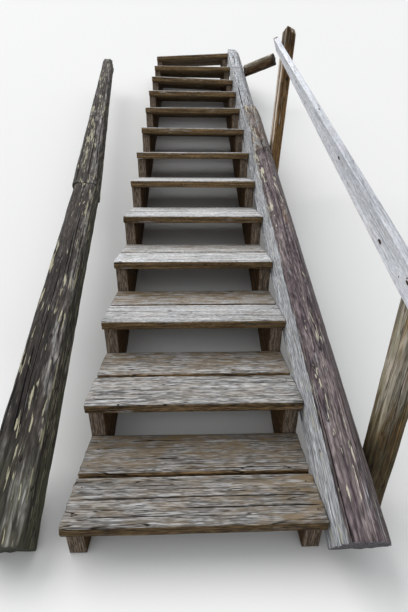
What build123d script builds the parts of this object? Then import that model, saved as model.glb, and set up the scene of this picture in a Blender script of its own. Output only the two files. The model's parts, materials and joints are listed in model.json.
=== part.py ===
from build123d import *
import os
from math import atan2, cos, radians, sin

# Open-riser timber stair lying on a slope, with a side log, a handrail and a border beam.
# Millimetres. X runs across the stair, Y up the slope, Z up.
# The origin is the middle of the level foot of the left stringer.

# Flight
TREAD_COUNT = 13
RISE = 190.0
RUN = 375.0
TREAD_LENGTH = 900.0

# Tread planks: two to a tread, side by side, with an open joint between them
PLANK_THICK = 50.0
FRONT_PLANK = 200.0
PLANK_GAP = 13.0
NOSING = 38.0
PLANK_EASE = 5.0

# How far the left and the right end of a tread lie above their even places
TREAD_LIFTS = {
    8: (9.0, 5.0),
    9: (15.0, 17.0),
    10: (21.0, 17.0),
    11: (21.0, -4.0),
    12: (5.0, 4.0),
    13: (-11.0, 34.0),
}

# Stringers: planks on edge, cut out under every tread
STRINGER_THICK = 65.0
STRINGER_THROAT = 125.0

# Side log: hewn flat towards the stair, left round outside, in three lengths
LOG_TOP = 138.0
LOG_TOP_UPPER = 55.0
LOG_BOTTOM = 110.0
LOG_WIDTH = 200.0
LOG_WIDTH_UPPER = 165.0
LOG_CROWN = 95.0
LOG_BELLY = 50.0
LOG_CROWN_FALL = 4.0
LOG_JOINT = 5.0
LOG_START = -0.16 * RUN
LOG_LOWER_END = 7.41 * RUN
LOG_MIDDLE_END = 10.53 * RUN
LOG_UPPER_END = 12.19 * RUN

# Shape of the log's round side, as shares of its width, its top and its bottom
SHOULDER_OUT = 0.56
SHOULDER_UP = 0.42
HIP_OUT = 0.93
HIP_DOWN = 0.62
HEEL_OUT = 0.75

# Handrail: one plank on edge, nailed to the stair side of two posts and twisted towards its upper end
POST_LET_IN = 10.0
RAIL_THICK = 34.0
RAIL_DEPTH = 88.0
RAIL_EASE = 3.0
RAIL_HEIGHT = 742.0
RAIL_START = -0.4 * RUN
RAIL_TWIST_START = 0.65 * RUN
RAIL_END = 6.21 * RUN
RAIL_TWIST = 23.5
LOWER_POST_WIDTH = 90.0
LOWER_POST_DEPTH = 90.0
LOWER_POST_Y = 0.39 * RUN
UPPER_POST_WIDTH = 75.0
UPPER_POST_DEPTH = 145.0
UPPER_POST_Y = 5.81 * RUN
UPPER_POST_OUT = 10.0
UPPER_POST_LEAN = 2.7
POST_ABOVE_RAIL = 56.0

# Chip off the outer front corner of the upper post's head
CHIP_IN = 11.0
CHIP_SLANT = (0.52, -0.5, 0.69)

# Border beam: two heavier hewn timbers lying left of the stair, placed by the gap to their middle
BEAM_LOWER_WIDE = 190.0
BEAM_LOWER_SLIM = 160.0
BEAM_UPPER_WIDE = 180.0
BEAM_UPPER_SLIM = 120.0
BEAM_CORNER = 22.0
BEAM_TOP = 0.0
BEAM_JOINT_Y = 4.93 * RUN
BEAM_END_Y = 11.6 * RUN
BEAM_START_GAP = 200.0
BEAM_JOINT_GAP = 320.0
BEAM_JOINT_SHIFT = 8.0
BEAM_END_GAP = 590.0

# Stub of a short timber that butts against the outside of the log near its head
STUB_WIDTH = 95.0
STUB_DEPTH = 115.0
STUB_REACH = 415.0
STUB_Y = 11.07 * RUN
STUB_DROP = 75.0
STUB_TURN = 35.0
STUB_TILT = 12.0
STUB_CORNER = 10.0

# Worked out from the sizes above
SLOPE = atan2(RISE, RUN)
HALF_STAIR = TREAD_LENGTH / 2
BACK_PLANK = RUN + NOSING - FRONT_PLANK - PLANK_GAP
THROAT_PLUMB = STRINGER_THROAT / cos(SLOPE)
BEAM_START_Y = (BEAM_LOWER_WIDE * cos(SLOPE) - RISE) * RUN / RISE
STRINGER_BELOW = PLANK_THICK + THROAT_PLUMB + (NOSING + RUN) * RISE / RUN
POST_FACE_X = HALF_STAIR + LOG_WIDTH - POST_LET_IN
RAIL_AXIS_HEIGHT = RAIL_HEIGHT - RAIL_DEPTH / 2 / cos(SLOPE)
ORIGIN_SHIFT = Vector(
    HALF_STAIR - STRINGER_THICK / 2,
    -(NOSING + RUN / 2),
    RISE,
)

os.makedirs("parts", exist_ok=True)


def save(shape, name):
    """Moves a piece from the first tread's front edge to the foot of the stringer and writes it."""
    export_step(Pos(ORIGIN_SHIFT) * shape, f"parts/{name}.step")


def nosing_height(y):
    """Height of the line through the front edges of the treads."""
    return y * RISE / RUN


def slope_plane(x, y, height):
    """Plane square to the slope, a plumb height above the treads' edges. Its Y points out of the slope."""
    return Plane(
        origin=(x, y, nosing_height(y) + height),
        x_dir=(1, 0, 0),
        z_dir=(0, -cos(SLOPE), -sin(SLOPE)),
    )


def tread_height(step, x):
    """Height of a tread's top at a place across the stair. Some treads have warped or settled."""
    left, right = TREAD_LIFTS.get(step + 1, (0.0, 0.0))
    return step * RISE + left + (right - left) * (x + HALF_STAIR) / TREAD_LENGTH


def board(step, y_front, width):
    """A sharp-edged board as long as a tread, with plumb ends and the tread's own tilt."""
    left, right = tread_height(step, -HALF_STAIR), tread_height(step, HALF_STAIR)
    corners = [
        (-HALF_STAIR, y_front, left - PLANK_THICK),
        (HALF_STAIR, y_front, right - PLANK_THICK),
        (HALF_STAIR, y_front, right),
        (-HALF_STAIR, y_front, left),
    ]
    return extrude(make_face(Polyline(*corners, close=True)), width, dir=(0, 1, 0))


def plank(step, y_front, width):
    """One tread plank with its long arrises eased."""
    body = board(step, y_front, width)
    return chamfer(body.edges().filter_by(lambda edge: edge.length > TREAD_LENGTH / 2), PLANK_EASE)


def stringer(x_left):
    """A plank on edge with a seat and a riser cut for every tread, and level and plumb ends."""
    outline = [(NOSING, -RISE)]
    for step in range(TREAD_COUNT):
        highest = max(tread_height(step, x_left), tread_height(step, x_left + STRINGER_THICK))
        seat = highest - PLANK_THICK
        outline.append((NOSING + step * RUN, seat))
        outline.append((NOSING + (step + 1) * RUN, seat))
    head_y = NOSING + TREAD_COUNT * RUN
    outline.append((head_y, nosing_height(head_y) - STRINGER_BELOW))
    outline.append(((STRINGER_BELOW - RISE) * RUN / RISE, -RISE))
    face = Plane.YZ * make_face(Polyline(*outline, close=True))
    body = Pos(x_left, 0, 0) * extrude(face, STRINGER_THICK)
    for tread in TREAD_LIFTS:
        body = body - board(tread - 1, NOSING + (tread - 1) * RUN, RUN)
    return body


def log_section(y, top, width):
    """Section of the side log: flat flank, narrow crown, round shoulder and belly."""
    crown = (LOG_CROWN, top - LOG_CROWN_FALL)
    belly = (width, -LOG_BELLY)
    shoulder = (LOG_CROWN + SHOULDER_OUT * (width - LOG_CROWN), SHOULDER_UP * top)
    heel = (HEEL_OUT * width, -LOG_BOTTOM)
    hip = (HIP_OUT * width, -LOG_BELLY - HIP_DOWN * (LOG_BOTTOM - LOG_BELLY))
    rim = [
        Line((0, -LOG_BOTTOM), (0, top)),
        Line((0, top), crown),
        ThreePointArc(crown, shoulder, belly),
        ThreePointArc(belly, hip, heel),
        Line(heel, (0, -LOG_BOTTOM)),
    ]
    return slope_plane(HALF_STAIR, y, 0) * make_face(rim)


def log_length(y_start, y_end, top, width):
    """One length of the side log between two square ends."""
    return loft([log_section(y_start, top, width), log_section(y_end, top, width)], ruled=True)


def post(face_x, y_front, width, depth, lean):
    """A post from the ground beside the log to above the handrail, leaning out from where the rail crosses it."""
    y_middle = y_front + depth / 2
    pivot = nosing_height(y_middle) + RAIL_AXIS_HEIGHT
    foot = max(-RISE, nosing_height(y_middle) - STRINGER_BELOW)
    head = nosing_height(y_middle) + RAIL_HEIGHT + POST_ABOVE_RAIL
    body = Box(width, depth, 2 * (pivot - foot) + depth)
    body = chamfer(body.edges().filter_by(Axis.Z), PLANK_EASE)
    body = Pos(face_x, y_middle, pivot) * Rot(0, lean, 0) * Pos(width / 2, 0, 0) * body
    height = head - foot
    return body & Pos(face_x, y_middle, foot + height / 2) * Box(height, height, height)


def rail_section(y, roll):
    """Section of the handrail, rolled about its own axis so that its top turns towards the stair."""
    outline = chamfer(Rectangle(RAIL_THICK, RAIL_DEPTH).vertices(), RAIL_EASE)
    return slope_plane(POST_FACE_X - RAIL_THICK / 2, y, RAIL_AXIS_HEIGHT) * Rot(0, 0, roll) * outline


def hewn_beam(start, end):
    """A squared timber with waney corners between two ends, each a gap to the stair, a Y and a thickness."""
    sections = []
    for gap, y, size in (start, end):
        outline = Pos(0, -size / 2) * RectangleRounded(size, size, BEAM_CORNER)
        sections.append(slope_plane(-HALF_STAIR - gap, y, BEAM_TOP) * outline)
    return loft(sections, ruled=True)


# Treads
for step in range(TREAD_COUNT):
    front_edge = step * RUN
    save(plank(step, front_edge, FRONT_PLANK), f"tread_{step + 1:02d}_front")
    back_edge = front_edge + FRONT_PLANK + PLANK_GAP
    save(plank(step, back_edge, BACK_PLANK), f"tread_{step + 1:02d}_back")

# Stringers
save(stringer(-HALF_STAIR), "left_stringer")
save(stringer(HALF_STAIR - STRINGER_THICK), "right_stringer")

# Handrail, and posts cut to take it
handrail = loft(
    [rail_section(RAIL_START, 0), rail_section(RAIL_TWIST_START, 0), rail_section(RAIL_END, RAIL_TWIST)],
    ruled=True,
)
save(handrail, "handrail")
lower_post = post(POST_FACE_X, LOWER_POST_Y, LOWER_POST_WIDTH, LOWER_POST_DEPTH, 0)
save(lower_post, "lower_post")
upper_face_x = POST_FACE_X + UPPER_POST_OUT
upper_post = post(upper_face_x, UPPER_POST_Y, UPPER_POST_WIDTH, UPPER_POST_DEPTH, UPPER_POST_LEAN)
upper_head = upper_post.bounding_box().max.Z
chip_plane = Plane(origin=(upper_face_x + CHIP_IN, UPPER_POST_Y, upper_head), z_dir=CHIP_SLANT)
chip_block = Cylinder(UPPER_POST_DEPTH, UPPER_POST_DEPTH)
upper_post = upper_post - chip_plane * Pos(0, 0, UPPER_POST_DEPTH / 2) * chip_block
upper_post = upper_post - handrail
save(upper_post, "upper_post")

# Side log, with a flat cut where each post stands in it
log_lower = log_length(LOG_START, LOG_LOWER_END, LOG_TOP, LOG_WIDTH)
log_lower = log_lower - lower_post - upper_post
save(log_lower, "side_log_lower")
log_middle_start = LOG_LOWER_END + LOG_JOINT
log_middle = log_length(log_middle_start, LOG_MIDDLE_END, LOG_TOP_UPPER, LOG_WIDTH_UPPER)
save(log_middle, "side_log_middle")
log_upper_start = LOG_MIDDLE_END + LOG_JOINT
log_upper = log_length(log_upper_start, LOG_UPPER_END, LOG_TOP_UPPER, LOG_WIDTH_UPPER)
save(log_upper, "side_log_upper")

# Stub against the log
stub_turn = radians(STUB_TURN)
stub_plane = Plane(
    origin=(HALF_STAIR + LOG_WIDTH_UPPER - LOG_BELLY, STUB_Y, nosing_height(STUB_Y) - STUB_DROP),
    x_dir=(sin(stub_turn), cos(stub_turn), 0),
    z_dir=(cos(stub_turn), -sin(stub_turn), sin(radians(STUB_TILT))),
)
stub = extrude(stub_plane * RectangleRounded(STUB_WIDTH, STUB_DEPTH, STUB_CORNER), STUB_REACH + LOG_BELLY)
stub = stub - log_upper
save(stub, "outer_stub")

# Border beam, two timbers end to end
beam_start = (BEAM_START_GAP, BEAM_START_Y, BEAM_LOWER_WIDE)
beam_joint_lower = (BEAM_JOINT_GAP, BEAM_JOINT_Y, BEAM_LOWER_SLIM)
save(hewn_beam(beam_start, beam_joint_lower), "border_beam_lower")
beam_joint_upper = (BEAM_JOINT_GAP + BEAM_JOINT_SHIFT, BEAM_JOINT_Y, BEAM_UPPER_WIDE)
beam_end = (BEAM_END_GAP, BEAM_END_Y, BEAM_UPPER_SLIM)
save(hewn_beam(beam_joint_upper, beam_end), "border_beam_upper")
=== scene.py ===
import json
import math
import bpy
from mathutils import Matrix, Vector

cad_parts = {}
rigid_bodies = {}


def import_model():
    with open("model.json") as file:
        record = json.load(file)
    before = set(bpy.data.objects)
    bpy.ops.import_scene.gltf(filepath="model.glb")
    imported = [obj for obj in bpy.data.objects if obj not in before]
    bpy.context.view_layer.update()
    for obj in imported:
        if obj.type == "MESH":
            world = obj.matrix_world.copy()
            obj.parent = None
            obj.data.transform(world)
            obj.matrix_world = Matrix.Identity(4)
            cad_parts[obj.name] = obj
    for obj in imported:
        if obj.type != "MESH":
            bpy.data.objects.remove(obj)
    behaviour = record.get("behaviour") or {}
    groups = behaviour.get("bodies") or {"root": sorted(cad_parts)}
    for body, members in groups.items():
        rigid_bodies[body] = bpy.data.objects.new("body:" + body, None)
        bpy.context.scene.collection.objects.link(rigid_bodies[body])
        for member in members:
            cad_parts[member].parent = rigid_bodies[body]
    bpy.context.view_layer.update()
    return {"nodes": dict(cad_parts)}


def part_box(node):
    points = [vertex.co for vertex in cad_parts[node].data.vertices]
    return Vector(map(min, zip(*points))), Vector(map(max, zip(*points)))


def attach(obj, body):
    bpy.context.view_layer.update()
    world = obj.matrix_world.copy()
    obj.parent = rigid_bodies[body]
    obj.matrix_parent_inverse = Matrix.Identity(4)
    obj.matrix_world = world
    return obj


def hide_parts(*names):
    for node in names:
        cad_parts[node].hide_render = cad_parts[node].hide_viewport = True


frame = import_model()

from types import SimpleNamespace

import bmesh
import bpy
import numpy as np
from mathutils import Matrix, Vector
from mathutils.bvhtree import BVHTree

bl_info = {
    "name": "Weathered Timber Stair",
    "version": (1, 0, 0),
    "blender": (4, 5, 0),
    "location": "3D View > Sidebar > Stair",
    "description": "Dresses the packed outdoor stair with checked, worn and silvered timber",
    "category": "Add Mesh",
}

BODY = "root"
MM = 0.001
TREADS = sorted(name for name in frame["nodes"] if name.startswith("tread_"))

# The lowest treads lie evenly, so rise and run are read from the first of them to the one after the last
EVEN_STEPS = 6
FIRST_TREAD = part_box("tread_01_front")
LATER_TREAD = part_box(f"tread_{EVEN_STEPS + 1:02d}_front")
RISE = (LATER_TREAD[1].z - FIRST_TREAD[1].z) / EVEN_STEPS
RUN = (LATER_TREAD[0].y - FIRST_TREAD[0].y) / EVEN_STEPS
SLOPE = math.atan2(RISE, RUN)
ACROSS = np.array((1.0, 0.0, 0.0))
UPHILL = np.array((0.0, math.cos(SLOPE), math.sin(SLOPE)))
OUT_OF_SLOPE = np.array((0.0, -math.sin(SLOPE), math.cos(SLOPE)))

# A knot's stain is longer than wide, so a distance along the grain counts as this share of itself
KNOT_SQUAT = 0.45

# What a point far from any knot is given: its distance along and round in metres, and a tiny radius
NO_KNOT = (5.0, 5.0, 1 * MM)

# Width of a growth ring in the end grain, and how far it wanders from a true circle
RING_WIDTH = 4.5 * MM
RING_WANDER = 22.0

# How far the whole bump of a material reaches
BUMP_HEIGHT = 1 * MM


def linear(hex_colour):
    """Turns an sRGB hex value into the linear colour that Blender works with."""
    value = hex_colour.lstrip("#")
    channels = [int(value[i:i + 2], 16) / 255 for i in (0, 2, 4)]
    return tuple(c / 12.92 if c <= 0.04045 else ((c + 0.055) / 1.055) ** 2.4 for c in channels) + (1.0,)


def colour(name, description, hex_colour):
    """A colour that the user can change."""
    return bpy.props.FloatVectorProperty(
        name=name, description=description, subtype="COLOR", size=4, min=0, max=1, default=linear(hex_colour)
    )


def length(name, description, millimetres):
    """A length that the user can change, given here in millimetres."""
    return bpy.props.FloatProperty(
        name=name, description=description, unit="LENGTH", min=0, precision=5, default=millimetres * MM
    )


class StairRelief(bpy.types.PropertyGroup):
    """How deep the weather has worked into the timber."""

    plank_check: length("Plank checks", "Depth of the drying checks in the tread planks", 9)
    plank_check_width: length("Plank check width", "Width of a check at the face of a plank", 3.2)
    log_check: length("Log checks", "Depth of the drying checks in the side log and border beam", 22)
    log_check_width: length("Log check width", "Width of a check at the face of a log", 6)
    edge_wear: length("Edge wear", "How far feet and weather have rounded the arrises", 2.5)
    ridge: length("Grain ridges", "Height of the late wood that stands proud of the worn early wood", 0.9)
    wander: length("Wander of the grain", "How far the grain strays sideways", 6)


class TreadFinish(bpy.types.PropertyGroup):
    """Colours of the tread planks."""

    silver: colour("Silver", "Rain-bleached top", "#dedfe0")
    shade: colour("Silver shade", "Greyer bands of the top", "#b1afac")
    brown: colour("Brown", "Sheltered front edge", "#957b57")
    umber: colour("Umber", "Darker bands of the front edge", "#57452f")
    dirt: colour("Dirt", "Dried dirt washed onto the planks", "#7c6a50")


class LogFinish(bpy.types.PropertyGroup):
    """Colours of the hewn side log."""

    silver: colour("Silver", "Hewn flank beside the treads", "#d9dde0")
    shade: colour("Silver shade", "Greyer bands of the flank", "#a6a6aa")
    brown: colour("Plum", "Round back of the log", "#8d817f")
    umber: colour("Dark plum", "Darker bands of the back", "#41343c")
    flake: colour("Flakes", "Pale flakes of old bast", "#d0cab4")
    bark: colour("Bark", "Brown inner bark left on the crown", "#85653f")


class BeamFinish(bpy.types.PropertyGroup):
    """Colours of the border beam."""

    silver: colour("Lavender grey", "Bleached arris", "#aeaba6")
    shade: colour("Grey", "Greyer bands", "#77716e")
    brown: colour("Brown", "Wet-looking top", "#554d47")
    umber: colour("Umber", "Darkest bands", "#262121")
    flake: colour("Flakes", "Pale flakes of old bast and lichen", "#b8b196")
    algae: colour("Algae", "Green-grey film on the side towards the stair", "#6f725a")


class RailFinish(bpy.types.PropertyGroup):
    """Colours of the handrail."""

    silver: colour("White silver", "Sun-bleached faces", "#f0f2f7")
    shade: colour("Silver shade", "Greyer bands", "#d2d5dc")
    brown: colour("Brown", "Split end", "#8b6e55")
    umber: colour("Umber", "Knots and the split", "#49382c")


class PostFinish(bpy.types.PropertyGroup):
    """Colours of the posts, the stringers and the stub."""

    silver: colour("Grey", "Bleached strips", "#e6dacc")
    shade: colour("Grey shade", "Greyer bands", "#b3a595")
    brown: colour("Brown", "Body of the post", "#9d7c52")
    umber: colour("Umber", "Darker bands of the post", "#664d34")
    algae: colour("Algae", "Green-grey film where the wood stays damp", "#83866a")
    stringer_brown: colour("Stringer brown", "Body of the stringer plank", "#7a5c3b")
    stringer_umber: colour("Stringer umber", "Darker bands of the stringer", "#423120")


class StageSettings(bpy.types.PropertyGroup):
    """Camera, floor and light."""

    eye: bpy.props.FloatVectorProperty(
        name="Eye", description="Where the camera stands", subtype="TRANSLATION", unit="LENGTH",
        default=(0.4185, -0.9545, 1.299),
    )
    yaw: bpy.props.FloatProperty(
        name="Yaw", description="Camera turn to the right of straight uphill", subtype="ANGLE",
        default=math.radians(1.82),
    )
    pitch: bpy.props.FloatProperty(
        name="Pitch", description="Camera tilt below level", subtype="ANGLE", default=math.radians(23.75)
    )
    roll: bpy.props.FloatProperty(
        name="Roll", description="Camera turn about its own axis", subtype="ANGLE", default=math.radians(0.33)
    )
    lens: bpy.props.FloatProperty(
        name="Lens", description="Focal length on the sensor's long side", unit="CAMERA", default=20.0
    )
    floor: colour("Floor", "Pale studio floor", "#f0efec")
    zenith: bpy.props.FloatProperty(
        name="Zenith", description="Strength of the sky overhead", default=1.15
    )
    horizon: bpy.props.FloatProperty(
        name="Horizon", description="Strength of the sky at eye level", default=0.30
    )
    below: bpy.props.FloatProperty(
        name="Below", description="Strength of the light from below", default=0.08
    )
    sun: bpy.props.FloatProperty(
        name="Soft sun", description="Strength of the soft light from above", default=1.8
    )


GROUPS = {
    "stair_relief": StairRelief,
    "stair_treads": TreadFinish,
    "stair_log": LogFinish,
    "stair_beam": BeamFinish,
    "stair_rail": RailFinish,
    "stair_posts": PostFinish,
    "stair_stage": StageSettings,
}


def hills(rng, u, v, cell_u, cell_v, around=None):
    """Smooth random hills from -1 to 1 over u and v, each about one cell long and wide.

    With around, v is a distance round a closed line of that length, and the hills close too.
    """
    rows = (u - u.min()) / cell_u
    count_v = int(np.ceil((v.max() - v.min()) / cell_v)) + 2
    if around:
        count_v = max(3, round(around / cell_v))
    cols = (v / around % 1.0) * count_v if around else (v - v.min()) / cell_v
    heights = rng.uniform(-1, 1, (int(rows.max()) + 3, count_v + 1))
    if around:
        heights[:, count_v] = heights[:, 0]
    r0, c0 = np.floor(rows).astype(int), np.floor(cols).astype(int)
    c0 = np.minimum(c0, count_v - 1)
    fr, fc = rows - r0, cols - c0
    fr, fc = fr * fr * (3 - 2 * fr), fc * fc * (3 - 2 * fc)
    low = heights[r0, c0] * (1 - fc) + heights[r0, c0 + 1] * fc
    high = heights[r0 + 1, c0] * (1 - fc) + heights[r0 + 1, c0 + 1] * fc
    return low * (1 - fr) + high * fr


def smooth_step(low, high, value):
    """0 below low, 1 above high, and an S curve between."""
    share = np.clip((value - low) / (high - low), 0, 1)
    return share * share * (3 - 2 * share)


def solid_of(mesh):
    """A mesh made ready for casting rays onto it."""
    points = [vertex.co[:] for vertex in mesh.vertices]
    return BVHTree.FromPolygons(points, [tuple(face.vertices) for face in mesh.polygons])


class Section:
    """Line round a timber's section: a core line along its middle, and rays from it to the face.

    Distance along it starts at the middle of the underside and runs by the right side over the top.
    """

    # How many rays are tried to find a place, and what keeps a ray that points away from being chosen
    TRIED = 720
    AWAY = 1e3

    def __init__(self, half_wide, half_deep):
        self.upright = half_deep > half_wide
        self.radius = min(half_wide, half_deep)
        self.core = max(half_wide, half_deep) - self.radius
        self.arc = math.pi * self.radius
        self.around = 4 * self.core + 2 * self.arc

    def rays(self, along_line):
        """Start on the core line and direction, both across and deep, for distances along the line."""
        t = np.mod(along_line, self.around)
        h, arc = self.core, self.arc
        start = np.clip(t, 0, h) - np.clip(t - h - arc, 0, 2 * h) + np.clip(t - 3 * h - 2 * arc, 0, h)
        turn = np.clip(t - h, 0, arc) + np.clip(t - 3 * h - arc, 0, arc)
        angle = turn / self.radius - math.pi / 2
        core = np.stack([start, np.zeros_like(start)], -1)
        ray = np.stack([np.cos(angle), np.sin(angle)], -1)
        if self.upright:
            core = np.stack([-core[..., 1], core[..., 0]], -1)
            ray = np.stack([-ray[..., 1], ray[..., 0]], -1)
        return core, ray

    def where(self, across, deep):
        """Distance along the line of the ray that points nearest to a place in the section."""
        line = np.linspace(0, self.around, self.TRIED, endpoint=False)
        core, ray = self.rays(line)
        reach = np.array((across, deep)) - core
        aside = np.abs(reach[:, 0] * ray[:, 1] - reach[:, 1] * ray[:, 0])
        ahead = reach[:, 0] * ray[:, 0] + reach[:, 1] * ray[:, 1]
        return line[np.argmin(aside + np.where(ahead > 0, 0, self.AWAY))]


class Timber:
    """One piece of timber: its CAD solid, its grain, its section and the rings of points over its faces."""

    # How near the end of the solid a corner lies that belongs to its end face
    END_FACE = 1.5 * MM
    # How far inside its ends the side faces are looked for
    SKIN = 0.3 * MM
    # How far outside the solid rays start
    BEYOND = 20 * MM
    # How many places round the section its outline is felt at, and over what length it may turn
    FINE = 720
    FEEL = 10 * MM
    # A column of points goes this far either side of an arris
    EASE = 3 * MM
    # Rings close to each end, how far from the two ends the even rings start and stop, and how far the
    # outermost ones are drawn in to ease the end's rim
    END_RINGS = (0.0, 2 * MM, 7 * MM)
    EVEN_RINGS = (15 * MM, 14 * MM)
    END_EASE = (2.2 * MM, 0.7 * MM)
    # Waves of a ragged end, of straying grain and of uneven wear: their length, and then their width
    TORN_WAVE = 18 * MM
    DRIFT_CELL = (0.33, 0.09)
    WORN_CELL = (0.15, 0.5)
    # A check has its full depth from this share of its length on, and is painted black, as painted shade,
    # once it is this deep
    CHECK_TAPER = 0.35
    SHADE_BLACK_FROM = 2.5 * MM

    def __init__(self, node, along, across, deep, seed, twist_from=None):
        self.node = node
        self.rng = np.random.default_rng(seed)
        mesh = frame["nodes"][node].data
        self.solid = solid_of(mesh)
        self.axes = np.array((along, across, deep), dtype=float)
        self.axes /= np.linalg.norm(self.axes, axis=1)[:, None]
        local = np.array([vertex.co for vertex in mesh.vertices]) @ self.axes.T
        self.low, self.high = local[:, 0].min(), local[:, 0].max()
        faces = [local[np.abs(local[:, 0] - edge) < self.END_FACE][:, 1:] for edge in (self.low, self.high)]
        self.ends = [(face.min(0) + face.max(0)) / 2 for face in faces]
        sizes = [np.ptp(face, axis=0) for face in faces]
        # An end that is cut to less than half the section doesn't say where the section lies
        whole = 0 if sizes[0].min() > 0.5 * sizes[1].min() else 1
        if sizes[1 - whole].min() < 0.5 * sizes[whole].min():
            self.ends = [self.ends[whole]] * 2
        self.half = sizes[whole] / 2
        self.section = Section(*self.half)
        self.twist, self.twist_from = 0.0, self.low
        if twist_from is not None:
            self.twist_from += twist_from * (self.high - self.low)
            tall = np.linalg.svd(faces[1] - self.ends[1])[2][0]
            self.twist = math.atan2(-tall[0] * np.sign(tall[1]), abs(tall[1]))
        self.checks = []
        self.knots = []

    def check(self, place, start, end, depth, width):
        """Notes a drying check at a place round the section, between two shares of the length."""
        self.checks.append((place % self.section.around, start, end, depth, width))

    def knot(self, place, share, radius):
        """Notes a knot at a place round the section and a share of the length."""
        self.knots.append((share * (self.high - self.low), place, radius))

    def columns(self, fine, coarse, hidden):
        """Places round the section: fine where it shows, coarse below, three to a check or an arris."""
        around = self.section.around
        under = hidden * around / 2
        spread = [np.arange(0, under, coarse), np.arange(under, around - under, fine)]
        spread.append(np.arange(around - under, around - coarse / 2, coarse))
        base = np.concatenate([part for part in spread if len(part)])
        for place in self.arrises:
            base = base[np.abs(base - place) > self.EASE + 0.3 * fine]
            base = np.concatenate([base, np.mod((place - self.EASE, place, place + self.EASE), around)])
        for place, start, end, depth, width in self.checks:
            base = base[np.abs(base - place) > 0.75 * width + 0.3 * fine]
        for place, start, end, depth, width in self.checks:
            base = np.concatenate([base, (place - width / 2, place, place + width / 2)])
        base = np.unique(base)
        places = [check[0] for check in self.checks]
        self.check_columns = [int(np.argmin(np.abs(base - place))) for place in places]
        return base

    def turned(self, flat, reach):
        """A place or way in the section, turned as far as the timber has twisted there."""
        angle = self.twist * np.clip((reach - self.twist_from) / (self.high - self.twist_from), 0, 1)
        across = flat[..., 0] * np.cos(angle) - flat[..., 1] * np.sin(angle)
        deep = flat[..., 0] * np.sin(angle) + flat[..., 1] * np.cos(angle)
        return np.stack([across, deep], -1)

    def spot(self, reach, core, ray, out):
        """Points in space at a reach along the grain, out along a ray from the core line."""
        share = ((reach - self.low) / (self.high - self.low))[..., None]
        centre = self.ends[0] * (1 - share) + self.ends[1] * share
        flat = centre + self.turned(core + ray * out[..., None], reach)
        return reach[..., None] * self.axes[0] + flat @ self.axes[1:]

    def cast(self, origin, direction, limit):
        """Distances from points to the solid's face along directions, or nothing where a ray misses."""
        found = np.full(len(origin), np.nan)
        for index, (point, way) in enumerate(zip(origin.tolist(), direction.tolist())):
            hit = self.solid.ray_cast(Vector(point), Vector(way), limit)
            if hit[0] is not None:
                found[index] = hit[3]
        return found

    def face_out(self, reach, core, ray):
        """How far out along each ray the solid's face lies, found from outside."""
        limit = 2.5 * self.half.max()
        way = self.turned(ray, reach) @ self.axes[1:]
        origin = self.spot(reach, core, ray, np.full(reach.shape, limit))
        hits = self.cast(origin.reshape(-1, 3), -way.reshape(-1, 3), limit)
        return limit - hits.reshape(reach.shape)

    def rings(self, step, fine, coarse=None, hidden=0.0, relief=None, wander=0.0, worn=0.0, ragged=0.0):
        """Rings of points over the faces, with checks, worn arrises and relief cut into them.

        Step is the distance from ring to ring, and fine that from point to point. On the hidden share of the
        section, at its underside, that is coarse.
        """
        around, span = self.section.around, self.high - self.low
        self.outline()
        place = self.columns(fine, coarse or fine, hidden)
        first, last = self.torn_ends(place, ragged)
        near = np.array(self.END_RINGS)
        even = np.arange(self.EVEN_RINGS[0], span - self.EVEN_RINGS[1], step)
        steps = np.concatenate([near, even, span - near[::-1]]) / span
        reach = first[None, :] + steps[:, None] * (last - first)[None, :]
        spread = np.tile(place, (len(steps), 1))
        drift = wander * hills(self.rng, reach, spread, *self.DRIFT_CELL, around)
        drift = drift * (1 - np.clip(2 * self.sharpness(spread), 0, 1))
        core, ray = self.section.rays(spread + drift)
        safe = np.clip(reach, first + self.SKIN, last - self.SKIN)
        out = self.face_out(safe, core, ray)
        for row in range(1, len(out)):
            out[row] = np.where(np.isnan(out[row]), out[row - 1], out[row])
        uneven = 0.85 + 0.3 * hills(self.rng, reach, spread, *self.WORN_CELL, around)
        out = out - worn * self.sharpness(spread) * uneven
        if relief is not None:
            out = out - relief(self, reach, spread)
        self.crack = self.cut_checks(out, reach)
        for ring, eased in enumerate(self.END_EASE):
            out[ring] -= eased
            out[-1 - ring] -= eased
        self.reach, self.place = reach, place
        self.points = self.spot(reach, core, ray, out)
        self.hearts = self.spot(reach, core, ray, 0 * out)
        self.flat = (core + ray * out[..., None]) / self.half
        self.ways = self.turned(ray, reach) @ self.axes[1:]

    def torn_ends(self, place, ragged):
        """Where each line of points along the timber starts and ends, a little inside the solid's ends."""
        middle = np.full(len(place), (self.low + self.high) / 2)
        core, ray = self.section.rays(place)
        out = 0.9 * self.face_out(middle, core, ray)
        half_span = (self.high - self.low) / 2
        along = np.tile(self.axes[0], (len(place), 1))
        before, after = self.low - self.BEYOND, self.high + self.BEYOND
        first = self.cast(self.spot(middle * 0 + before, core, ray, out), along, half_span)
        last = self.cast(self.spot(middle * 0 + after, core, ray, out), -along, half_span)
        first = np.where(np.isnan(first), self.low, before + first)
        last = np.where(np.isnan(last), self.high, after - last)
        torn = hills(self.rng, place * 0, place, 1, self.TORN_WAVE, self.section.around)
        self.torn = ragged * (1 + torn) / 2, ragged * (1 - torn) / 2
        return first + self.torn[0], last - self.torn[1]

    def cut_checks(self, out, reach):
        """Cuts the checks into the faces, and gives how black the wood is painted in them, which is painted
        shade.
        """
        crack = np.zeros(reach.shape)
        for column, (where, start, end, depth, width) in zip(self.check_columns, self.checks):
            share = (reach[:, column] - self.low) / (self.high - self.low)
            from_tip = np.minimum(share - start, end - share) / (self.CHECK_TAPER * (end - start))
            taper = np.sqrt(np.clip(from_tip, 0, 1))
            taper[(share < start) | (share > end)] = 0
            depths = depth * taper * (0.8 + 0.35 * hills(self.rng, reach[:, column], 0 * taper, 0.05, 1))
            out[:, column] -= depths
            crack[:, column] = np.clip(depths / self.SHADE_BLACK_FROM, 0, 1)
        return crack

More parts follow.
